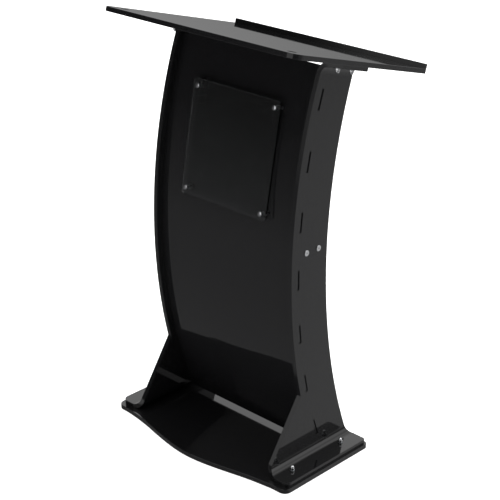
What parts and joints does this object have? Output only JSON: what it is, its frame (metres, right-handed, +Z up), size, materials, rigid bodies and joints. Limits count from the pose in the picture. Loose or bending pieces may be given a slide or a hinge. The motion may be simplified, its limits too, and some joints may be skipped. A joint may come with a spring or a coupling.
{
  "type": "lectern",
  "caption": "Flat-pack lectern of black acrylic sheet: sloped reading top with page stop, two curved side panels, a curved front panel with clear plaque, and a bowed base plate.",
  "frame": {"origin": "on the floor, under the middle of the overall box", "axes": "+X to the right of someone facing the lectern from the audience, -Y towards the audience, +Y towards the speaker, +Z up"},
  "size_m": [0.63, 0.5145, 1.099],
  "materials": {
    "black_acrylic": "polished",
    "clear_acrylic": "polished",
    "bright_steel": "polished",
    "plain_steel": "zinc plated",
    "black_steel": "black",
    "black_rubber": "matt"
  },
  "bodies": {
    "root": {"base_plate": "black_acrylic", "side_panel_left": "black_acrylic", "side_panel_right": "black_acrylic", "front_panel": "black_acrylic", "reading_top": "black_acrylic", "page_stop": "black_acrylic", "inner_shelf": "black_acrylic", "plaque": "clear_acrylic", "standoff_caps": "bright_steel", "standoff_barrels": "bright_steel", "standoff_studs": "plain_steel", "saddle_washers": "black_rubber", "standoff_nuts": "plain_steel", "foot_bolts": "plain_steel", "foot_washers": "bright_steel", "foot_cap_nuts": "bright_steel", "head_bolts": "black_steel", "head_washers": "bright_steel", "head_cap_nuts": "bright_steel", "shelf_bolts": "bright_steel", "shelf_washers": "bright_steel", "shelf_nuts": "plain_steel"}
  },
  "joints": []
}
